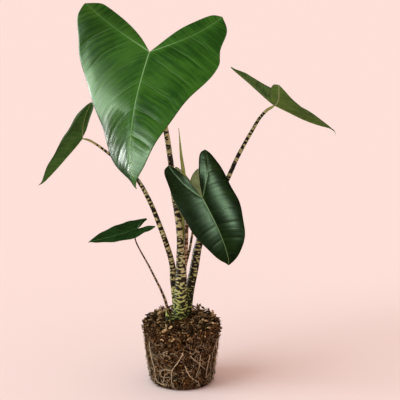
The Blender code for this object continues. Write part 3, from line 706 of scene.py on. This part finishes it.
def make_blade(name, leaf):
    """A thin blade with sunk veins and raised quilting above, and standing ribs below."""
    points, faces, veins, reach, sides = blade_sheet(leaf)
    normals = sheet_normals(points, faces)
    scale = leaf["length"] / FULL_BLADE_LENGTH
    mid, phase, _ = veins.T
    edge, _, along = reach.T
    inside = np.clip(edge / (0.020 * scale), 0.0, 1.0) * np.clip(mid / (0.010 * scale), 0.0, 1.0)
    pillow = np.abs(np.sin(np.pi * phase)) ** 0.8 + 0.35 * np.abs(np.sin(3.0 * np.pi * phase))
    wander = np.array([noise.noise(Vector(point) * (14.0 / max(scale, 0.4))) for point in points])
    relief = 0.0011 * scale * pillow * inside * (0.8 + 0.6 * wander)
    relief += 0.0008 * scale * wander
    relief -= 0.0008 * scale * np.exp(-(mid / (0.0016 * scale + 0.0003)) ** 2)
    rim = np.clip(1.0 - edge / (0.022 * scale), 0.0, 1.0)
    relief += 0.0013 * scale * rim ** 2 * np.sin(2.0 * np.pi * (0.42 * phase + 0.3))
    middle = points + normals * relief[:, None]
    rib_height = 0.0017 * np.clip(1.0 - np.abs(along), 0.15, 1.0) * scale + 0.0001
    rib = rib_height * np.exp(-(mid / (0.0017 * scale + 0.0003)) ** 2)
    half_thickness = BLADE_THICKNESS / 2 * (0.35 + 0.65 * np.clip(edge / 0.0015, 0.0, 1.0))
    above = middle + normals * half_thickness[:, None]
    below = middle - normals * (half_thickness + rib)[:, None]
    count = len(points)
    skins = list(faces) + [tuple(corner + count for corner in face[::-1]) for face in faces]
    directed = {}
    for face in faces:
        for a, b in zip(face, face[1:] + face[:1]):
            directed[(a, b)] = True
    for a, b in directed:
        if (b, a) not in directed:
            skins.append((b, a, a + count, b + count))
    lower = reach.copy()
    lower[:, 1] = 0.0
    skin_points = ease_inside(np.vstack([above, below]))
    make_piece(name + "_blade_leaf", skin_points, skins, blade_material(name, scale),
               "dark_blade" if name == "leaf_4" else "blade", (name + "_blade",),
               veins=np.vstack([veins, veins]), reach=np.vstack([reach, lower]),
               side=np.vstack([sides, sides]))


# Stems

def make_stem(name):
    stem = STEMS[name]
    leaf = LEAVES[name]
    _, right, up = leaf_frame(leaf)
    lean = np.radians(leaf["raised"][0] - leaf["raised"][1]) / 2.0
    end = np.asarray(leaf["joint"]) - STEM_END_GAP * (up * np.cos(lean) + right * np.sin(lean))
    centres = smooth_curve(list(stem["route"]) + [tuple(end)], STEM_RINGS)
    radii = smooth_steps(stem["radius"], STEM_RINGS)
    radii[-5:] *= (0.95, 0.88, 0.75, 0.55, 0.3)
    points, faces, skin = tube(centres, radii, STEM_SIDES)
    length = skin[:, 2]
    outward = points - np.repeat(centres, STEM_SIDES, axis=0)
    swell = np.array([noise.noise(Vector((s[0] * 150, s[1] * 150, s[2] * 60))) for s in skin])
    points = points + outward * (0.05 * swell)[:, None]
    zones = np.zeros_like(points)
    zones[:, 0] = np.clip((0.185 - points[:, 2]) / 0.07, 0.0, 1.0) if name != "leaf_5" else 0.0
    plain_reach = 0.030 if name in ("leaf_2", "leaf_3") else 0.012
    zones[:, 1] = np.clip(1.0 - (length.max() - length) / plain_reach, 0.0, 1.0)
    make_piece(name + "_stem_skin", points, faces, stem_material(name), "stem", (name + "_stem",),
               skin=skin, zones=zones)


def make_new_leaf():
    """The furled leaf, whose blade laps over itself as a slow spiral."""
    centres = smooth_curve(NEW_LEAF_ROUTE, NEW_LEAF_RINGS)
    radii = smooth_steps(NEW_LEAF_RADIUS, NEW_LEAF_RINGS)
    points, faces, skin = tube(centres, radii, STEM_SIDES)
    angles = np.tile(np.linspace(0.0, 2.0 * np.pi, STEM_SIDES, endpoint=False), NEW_LEAF_RINGS)
    lap = (angles / (2.0 * np.pi) + 0.12 * skin[:, 2] / 0.27) % 1.0
    outward = points - np.repeat(centres, STEM_SIDES, axis=0)
    points = points + outward * (0.16 * lap - 0.08)[:, None]
    make_piece("new_leaf_roll", points, faces, new_leaf_material(), "new_leaf", ("new_leaf",), skin=skin)


def make_sheath(name, route, radii, look, slot, replaces=()):
    centres = smooth_curve(route, SHEATH_RINGS)
    points, faces, skin = tube(centres, smooth_steps(radii, SHEATH_RINGS), STEM_SIDES)
    zones = np.zeros_like(points)
    zones[:, 0] = 1.0
    make_piece(name, points, faces, look, slot, replaces, skin=skin, zones=zones)


def make_crown():
    """Sheaths round the stems' feet, and the small shoot beside them."""
    look = stem_material("leaf_1")
    make_sheath("crown_sheath", [(-0.0018, -0.0035, 0.086), (-0.0016, -0.0042, 0.105),
                                 (-0.0016, -0.0045, 0.130), (-0.0022, -0.0040, 0.152),
                                 (-0.0030, -0.0050, 0.172)],
                (0.0090, 0.0104, 0.0104, 0.0102, 0.0060), look, "crown", ("crown",))
    shoot = stem_material("leaf_4")
    make_sheath("side_shoot_sheath", [(-0.0200, -0.0220, 0.090), (-0.0206, -0.0222, 0.103),
                                      (-0.0215, -0.0222, 0.113), (-0.0226, -0.0222, 0.124)],
                (0.0040, 0.0044, 0.0034, 0.0021), shoot, "crown", ("side_shoot",))
    make_sheath("side_shoot_scale", [(-0.0150, -0.0195, 0.092), (-0.0142, -0.0205, 0.106),
                                     (-0.0140, -0.0210, 0.121)],
                (0.0036, 0.0036, 0.0006), shoot, "crown")


# Root ball

def polar(reach, angle, height=0.0):
    return np.array((reach * math.cos(angle), reach * math.sin(angle), height))


def ball_radius(z):
    share = np.clip(z / BALL_SHOULDER_HEIGHT, 0.0, 1.0)
    return BALL_BASE_RADIUS + (BALL_SHOULDER_RADIUS - BALL_BASE_RADIUS) * share ** 0.9


def ball_profile():
    """Radius, height and roughness of each ring from the base's centre to the top's centre."""
    rings = [(0.0005, 0.0004, 0.0), (0.020, 0.0004, 0.0), (0.036, 0.0004, 0.0002), (0.0445, 0.0005, 0.0004),
             (0.0468, 0.0014, 0.0006), (0.0480, 0.0030, 0.0010)]
    for z in np.linspace(0.005, BALL_SHOULDER_HEIGHT, 92):
        rings.append((ball_radius(z) - 0.0006, z, 0.0024))
    for share in np.linspace(0.0, 1.0, 10)[1:]:
        rings.append((ball_radius(BALL_SHOULDER_HEIGHT) + 0.0006 * math.sin(math.pi * 0.5 * share),
                      BALL_SHOULDER_HEIGHT + 0.009 * share, 0.0022))
    for share in np.linspace(1.0, 0.02, 46):
        rings.append((0.0598 * share, SOIL_LEVEL - 0.001 + SOIL_MOUND * (1.0 - share ** 2), 0.0032))
    return rings


def make_soil():
    angles = np.linspace(0.0, 2.0 * np.pi, SOIL_SEGMENTS, endpoint=False)
    rings = ball_profile()
    points = []
    for radius, z, rough in rings:
        for angle in angles:
            spot = Vector(polar(radius, angle, z))
            bump = noise.fractal(spot * 130.0, 0.9, 2.1, 4)
            crumb = noise.noise(spot * 420.0)
            push = rough * (1.15 * bump + 0.45 * crumb)
            flat = 1.0 if z < BALL_SHOULDER_HEIGHT else 0.35
            points.append(polar(radius + push * flat, angle, max(0.0003, z + push * (1.2 - flat))))
    faces = ring_faces(len(rings), SOIL_SEGMENTS)
    make_piece("soil_body", points, faces, soil_material(), "soil", ("soil",))


def shard(draw, centre, direction, size, tone):
    """A splintered chip: a bent prism with uneven ends."""
    direction = direction / np.linalg.norm(direction)
    side = np.cross(direction, (draw.uniform(-1, 1), draw.uniform(-1, 1), draw.uniform(-1, 1)))
    side /= np.linalg.norm(side)
    other = np.cross(direction, side)
    length, width, thick = size
    sides = 6
    rings = []
    bow = draw.uniform(-0.15, 0.15) * length
    for share, fat in ((-0.5, 0.45), (-0.36, 0.85), (-0.1, 1.0), (0.18, 0.95), (0.38, 0.75), (0.5, 0.3)):
        middle = centre + direction * share * length + other * bow * (0.25 - share * share) * 2.0
        ring = []
        for k in range(sides):
            angle = 2.0 * math.pi * k / sides
            grow = fat * draw.uniform(0.78, 1.15)
            ring.append(middle + side * math.cos(angle) * width * 0.5 * grow
                        + other * math.sin(angle) * thick * 0.5 * grow)
        rings.append(ring)
    points = np.array(rings).reshape(-1, 3)
    return points, ring_faces(len(rings), sides), np.tile((*tone, 0.0), (len(points), 1))


def make_chips():
    draw = random.Random(11)
    parts = []
    for _ in range(TOP_CHIPS):
        angle = draw.uniform(0.0, 2.0 * math.pi)
        rim = draw.random() < 0.5
        reach = draw.uniform(0.88, 1.0) * 0.0605 if rim else math.sqrt(draw.random()) * 0.056
        if math.hypot(reach * math.cos(angle) + 0.001, reach * math.sin(angle) - 0.002) < 0.016:
            continue
        top = SOIL_LEVEL + SOIL_MOUND * (1.0 - (reach / BALL_RIM_RADIUS) ** 2)
        height = top + draw.uniform(-0.002, 0.005) if not rim else draw.uniform(0.084, SOIL_LEVEL + 0.003)
        if rim and height < 0.094:
            reach = ball_radius(BALL_SHOULDER_HEIGHT) + draw.uniform(-0.002, 0.0008)
        heap = max(0.0, math.sin(angle)) * max(0.0, reach - 0.030) / 0.030
        if abs(reach * math.cos(angle)) < 0.014 and -0.036 < reach * math.sin(angle) < 0.0:
            height = min(height, top) - 0.004
        height += 0.010 * heap * draw.random()
        centre = polar(reach, angle, height)
        lean = polar(1.0, angle) * draw.uniform(-0.4, 1.0)
        direction = np.array((draw.uniform(-1, 1), draw.uniform(-1, 1), draw.uniform(-0.45, 0.8))) + lean
        length = draw.choice((0.003, 0.004, 0.005, 0.007, 0.010))
        size = (length, length * draw.uniform(0.25, 0.6), length * draw.uniform(0.18, 0.42))
        tone = (draw.choice((0.0, 0.02, 0.05, 0.1, 0.2, 0.35, 0.7, 1.0)),
                1.0 if draw.random() < 0.12 else 0.2)
        parts.append(shard(draw, centre, direction, size, tone))
    for _ in range(SIDE_CHIPS):
        angle = draw.uniform(0.0, 2.0 * math.pi)
        height = draw.uniform(0.004, 0.090)
        reach = ball_radius(height) + draw.uniform(-0.0006, 0.0009)
        centre = polar(reach, angle, height)
        tangent = np.array((-math.sin(angle), math.cos(angle), 0.0)) * draw.uniform(-1, 1)
        spike = draw.choice((0.0, 0.0, 1.6))
        outward = polar(1.0, angle) * spike
        direction = tangent + outward + np.array((0.0, 0.0, draw.uniform(-1, 1)))
        length = draw.choice((0.0015, 0.002, 0.003, 0.005)) + 0.0012 * spike
        size = (length, length * draw.uniform(0.25, 0.5), length * draw.uniform(0.2, 0.4))
        tone = (draw.choice((0.05, 0.12, 0.25, 0.45, 0.7)), 1.0 if draw.random() < 0.12 else 0.0)
        parts.append(shard(draw, centre, direction, size, tone))
    points, faces, values = join_parts(parts)
    points[:, 2] = np.maximum(points[:, 2], LOWEST_POINT)
    make_piece("soil_chips", points, faces, chip_material(), "soil", tone=values)


def ball_line(route, count, lift, draw):
    """A line that lies on the ball's side, from (degrees round from the front, height) points."""
    line = smooth_curve([(angle / 400.0, height) for angle, height in route], count)
    path = []
    shift = draw.uniform(0.0, 50.0)
    for k, (angle, height) in enumerate(line):
        turn = math.radians(angle * 400.0 - 90.0)
        stray = noise.noise(Vector((k * 0.35, shift, 0.0))) + 0.5 * noise.noise(Vector((k * 0.9, shift, 3.0)))
        turn += 0.024 * stray
        reach = float(ball_radius(height)) + lift + 0.0005 * noise.noise(Vector((k * 0.3, 0.0, shift)))
        path.append(polar(reach, turn, max(height, 0.0016)))
    return np.array(path)


def root_strand(draw, radius, route, tone, lift):
    fine = radius < FINE_ROOT_RADIUS
    count = 8 * len(route) if fine else max(14, 10 * len(route))
    centres = ball_line(route, count, lift, draw)
    share = np.linspace(0.0, 1.0, count)
    radii = radius * (1.0 - 0.55 * share ** 2)
    radii[-1] = radius * 0.15
    points, faces, _ = tube(centres, radii, 5 if fine else 7)
    return points, faces, np.tile((tone, 0.0, 0.0), (len(points), 1))


def make_roots():
    draw = random.Random(5)
    parts = []
    for radius, route in PHOTO_ROOTS:
        tone = 1.0 if radius > DARK_ROOT_RADIUS else 0.25
        parts.append(root_strand(draw, ROOT_SLIM * radius, route, tone, radius * 0.7 + 0.0010))
    for k in range(SIDE_ROOTS):
        angle = 68.0 + 224.0 * (k + draw.uniform(-0.4, 0.4)) / SIDE_ROOTS
        height = draw.uniform(0.050, 0.080)
        route = [(angle, height)]
        while route[-1][1] > 0.012 and len(route) < 7:
            angle += draw.uniform(-9.0, 9.0)
            height -= draw.uniform(0.007, 0.017)
            route.append((angle, max(height, 0.006)))
        if len(route) < 3:
            route.append((angle + 5.0, max(height - 0.006, 0.005)))
        radius = draw.uniform(0.0004, 0.0009)
        tone = draw.uniform(0.3, 1.0)
        parts.append(root_strand(draw, ROOT_SLIM * radius, route, tone, radius * 0.7 + 0.0010))
    for _ in range(MEDIUM_ROOTS):
        angle = draw.uniform(-180.0, 180.0)
        height = draw.uniform(0.010, 0.072)
        route = [(angle, height)]
        for _ in range(draw.choice((2, 3, 4))):
            angle += draw.uniform(-13.0, 13.0)
            height = min(0.080, max(0.005, height + draw.uniform(-0.013, 0.007)))
            route.append((angle, height))
        radius = draw.uniform(0.00036, 0.00054)
        tone = draw.uniform(0.4, 0.95)
        parts.append(root_strand(draw, ROOT_SLIM * radius, route, tone, radius * 0.7 + 0.0011))
    for _ in range(FINE_ROOTS):
        angle = draw.uniform(-180.0, 180.0)
        height = draw.uniform(0.010, 0.084)
        route = [(angle, height)]
        for _ in range(draw.choice((2, 3, 4))):
            angle += draw.uniform(-7.0, 7.0)
            height = min(0.086, max(0.004, height + draw.uniform(-0.008, 0.005)))
            route.append((angle, height))
        parts.append(root_strand(draw, draw.uniform(0.00016, 0.00034), route, draw.random() ** 2, 0.0010))
    points, faces, values = join_parts(parts)
    make_piece("root_web", points, faces, root_material(), "root", ("roots",), tone=values)


def make_fibres():
    """Fine hairs that stand off the ball's side and rim."""
    draw = random.Random(23)
    parts = []
    for _ in range(HAIRS):
        angle = draw.uniform(0.0, 2.0 * math.pi)
        height = draw.uniform(0.004, SOIL_LEVEL)
        reach = ball_radius(height) - 0.0005
        out = polar(1.0, angle)
        start = polar(reach, angle, height)
        side = np.array((-out[1], out[0], 0.0)) * draw.uniform(-1.2, 1.2)
        length = draw.uniform(0.002, 0.0048)
        lift = np.array((0.0, 0.0, draw.uniform(-0.8, 0.6)))
        middle = start + (out * 0.7 + side * 0.4 + lift * 0.3) * length
        end = middle + (out * 0.3 + side * 0.6 + lift * 0.9) * length
        end[2] = max(end[2], 0.001)
        centres = smooth_curve([start, middle, end], 7)
        points, faces, _ = tube(centres, np.linspace(0.00024, 0.00007, 7), 4)
        parts.append((points, faces, np.tile((0.5 * draw.random() ** 2, 0.0, 0.0), (len(points), 1))))
    points, faces, values = join_parts(parts)
    make_piece("root_hairs", points, faces, root_material(), "root", tone=values)


# Stage

def make_stage():
    """Plain pale floor that runs back past the picture's upper edge."""
    points = [(-FLOOR_HALF_WIDTH, FLOOR_FRONT, 0.0), (FLOOR_HALF_WIDTH, FLOOR_FRONT, 0.0),
              (FLOOR_HALF_WIDTH, FLOOR_BACK, 0.0), (-FLOOR_HALF_WIDTH, FLOOR_BACK, 0.0)]
    mesh = bpy.data.meshes.new("floor")
    mesh.from_pydata(points, [], [(0, 1, 2, 3)])
    graph = Graph("floor_look")
    graph.shade(Base_Color=FLOOR_COLOUR, Roughness=0.9, Specular_IOR_Level=0.0)
    mesh.materials.append(graph.material)
    floor = bpy.data.objects.new("floor", mesh)
    floor.visible_glossy = False
    bpy.context.scene.collection.objects.link(floor)


def add_light(name, kind, place, target, power, sheen, **settings):
    """A lamp that either lights the surfaces or only puts a sheen on them."""
    light = bpy.data.lights.new(name, kind)
    light.energy = power
    for key, value in settings.items():
        setattr(light, key, value)
    lamp = bpy.data.objects.new(name, light)
    lamp.visible_camera = False
    lamp.visible_diffuse = not sheen
    lamp.visible_glossy = sheen
    lamp.location = place
    lamp.rotation_euler = (Vector(target) - Vector(place)).to_track_quat('-Z', 'Y').to_euler()
    bpy.context.scene.collection.objects.link(lamp)


def make_lights():
    """Soft sun from the front left, soft boxes only for the leaves' sheen, and even light all round."""
    world = bpy.data.worlds.new("studio")
    world.use_nodes = True
    background = world.node_tree.nodes["Background"]
    background.inputs["Color"].default_value = (*AMBIENT_COLOUR, 1.0)
    background.inputs["Strength"].default_value = AMBIENT
    world.cycles_visibility.glossy = False
    bpy.context.scene.world = world
    add_light("key", 'SUN', (-1.45, -0.62, 1.40), (0.0, 0.0, 0.0), KEY_POWER, False,
              angle=math.radians(46.0), color=(0.64, 0.90, 1.0))
    add_light("left_box", 'AREA', (-1.95, 0.40, 0.46), (-0.07, -0.03, 0.42), 34.0, True,
              shape='RECTANGLE', size=1.8, size_y=0.8)
    add_light("low_box", 'AREA', (-1.25, 1.40, 0.22), (-0.07, -0.05, 0.36), 6.5, True, size=0.45)
    add_light("right_box", 'AREA', (1.3, -0.6, 1.5), (0.05, -0.05, 0.28), 22.0, True, size=0.8)


def make_camera():
    camera = bpy.data.cameras.new("photo_view")
    camera.lens = CAMERA_LENS
    camera.sensor_width = CAMERA_SENSOR
    camera.clip_end = CAMERA_REACH
    viewer = bpy.data.objects.new("photo_view", camera)
    viewer.location = CAMERA_PLACE
    viewer.rotation_euler = (math.radians(90.0 - CAMERA_PITCH), 0.0, 0.0)
    bpy.context.scene.collection.objects.link(viewer)
    bpy.context.scene.camera = viewer


make_camera()
make_stage()
make_lights()
make_soil()
make_chips()
make_roots()
make_fibres()
make_crown()
for leaf_name, leaf_sizes in LEAVES.items():
    make_stem(leaf_name)
    make_blade(leaf_name, leaf_sizes)
make_new_leaf()
bpy.context.scene.view_settings.view_transform = 'Standard'
